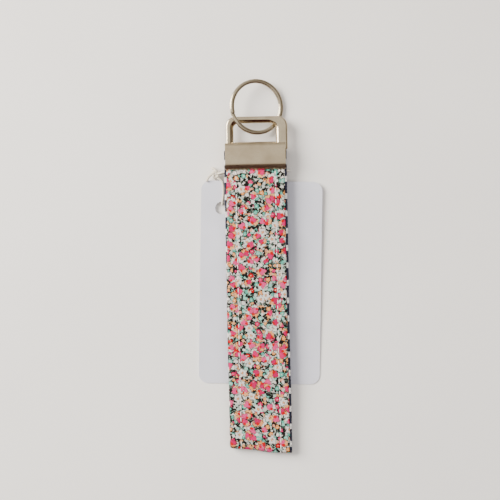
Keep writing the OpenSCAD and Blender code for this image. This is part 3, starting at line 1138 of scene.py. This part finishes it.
class WRISTLET_OT_stage(BuildOperator, bpy.types.Operator):
    """Set the floor, the lights and the camera"""

    bl_idname = "wristlet.stage"
    bl_label = "Stage"

    def build(self):
        """Makes the stage."""
        make_stage()


class WRISTLET_OT_string(BuildOperator, bpy.types.Operator):
    """Lay the tag's string and tie its knot"""

    bl_idname = "wristlet.string"
    bl_label = "String and knot"

    def build(self):
        """Makes the knot and both stretches of string."""
        material = string_material()
        knot = make_knot(material)
        make_string("string_round", ROUND_ROUTE, "fob", "string_round_strap", material)
        make_string("string_tag", TAG_ROUTE, "tag", "string_to_tag", material)


class WRISTLET_OT_webbing(BuildOperator, bpy.types.Operator):
    """Weave the webbing of the strap"""

    bl_idname = "wristlet.webbing"
    bl_label = "Webbing"

    def build(self):
        """Makes each stretch of webbing."""
        material = webbing_material()
        for part in SPANS:
            make_webbing(part, material)


class WRISTLET_OT_lawn(BuildOperator, bpy.types.Operator):
    """Lay the floral lawn strip on the webbing"""

    bl_idname = "wristlet.lawn"
    bl_label = "Floral lawn"

    def build(self):
        """Makes each stretch of lawn."""
        material = lawn_material()
        for part in SPANS:
            make_lawn(part, material)


class WRISTLET_OT_stitches(BuildOperator, bpy.types.Operator):
    """Sew the two rows of topstitching"""

    bl_idname = "wristlet.stitches"
    bl_label = "Topstitching"

    def build(self):
        """Makes the stitches of each stretch."""
        material = thread_material()
        for part in ("front", "fold", "back"):
            make_stitches(part, material)


class WRISTLET_OT_hardware(BuildOperator, bpy.types.Operator):
    """Stamp the clamp and the dee loop"""

    bl_idname = "wristlet.hardware"
    bl_label = "Clamp and dee loop"

    def build(self):
        """Makes the clamp and the dee loop."""
        make_clamp(nickel_material("steel_nickel_plated_satin", "#C3B59B", "#AFA087", 0.30, 0.5))
        make_dee(nickel_material("steel_nickel_plated_bright", "#CDC0A8", "#B8AA92", 0.16, 0.25))


class WRISTLET_OT_ring(BuildOperator, bpy.types.Operator):
    """Wind the split ring"""

    bl_idname = "wristlet.ring"
    bl_label = "Split ring"

    def build(self):
        """Makes the split ring."""
        make_ring(nickel_material("spring_steel_nickel_plated", "#CBBFA9", "#B5A992", 0.15, 0.2))


class WRISTLET_OT_tag(BuildOperator, bpy.types.Operator):
    """Finish the blank swing tag"""

    bl_idname = "wristlet.tag"
    bl_label = "Swing tag"

    def build(self):
        """Gives the tag its card."""
        tag = frame["nodes"]["swing_tag"]
        tag.data.materials.clear()
        tag.data.materials.append(card_material())


OPERATORS = (WRISTLET_OT_stage, WRISTLET_OT_string, WRISTLET_OT_webbing, WRISTLET_OT_lawn,
             WRISTLET_OT_stitches, WRISTLET_OT_hardware, WRISTLET_OT_ring, WRISTLET_OT_tag)


class WRISTLET_PT_panel(bpy.types.Panel):
    """Sidebar panel that lists the build steps and settings"""

    bl_idname = "WRISTLET_PT_panel"
    bl_label = "Wristlet keychain"
    bl_space_type = "VIEW_3D"
    bl_region_type = "UI"
    bl_category = "Wristlet"

    def draw(self, context):
        """Draws the settings and a button for each operator."""
        layout = self.layout
        for group in (context.scene.wristlet_sizes, context.scene.wristlet_colours):
            for key in group.bl_rna.properties.keys():
                if key not in {"rna_type", "name"}:
                    layout.prop(group, key)
        for operator in OPERATORS:
            layout.operator(operator.bl_idname)


CLASSES = (WristletSizes, WristletColours) + OPERATORS + (WRISTLET_PT_panel,)


def register():
    """Registers the classes and their settings."""
    for cls in CLASSES:
        bpy.utils.register_class(cls)
    bpy.types.Scene.wristlet_sizes = bpy.props.PointerProperty(type=WristletSizes)
    bpy.types.Scene.wristlet_colours = bpy.props.PointerProperty(type=WristletColours)


def unregister():
    """Removes the settings and the classes."""
    del bpy.types.Scene.wristlet_colours
    del bpy.types.Scene.wristlet_sizes
    for cls in reversed(CLASSES):
        bpy.utils.unregister_class(cls)


def main():
    """Builds every piece."""
    register()
    bpy.ops.wristlet.stage()
    bpy.ops.wristlet.string()
    bpy.ops.wristlet.webbing()
    bpy.ops.wristlet.lawn()
    bpy.ops.wristlet.stitches()
    bpy.ops.wristlet.hardware()
    bpy.ops.wristlet.ring()
    bpy.ops.wristlet.tag()
    bpy.context.view_layer.update()


if __name__ == "__main__":
    main()
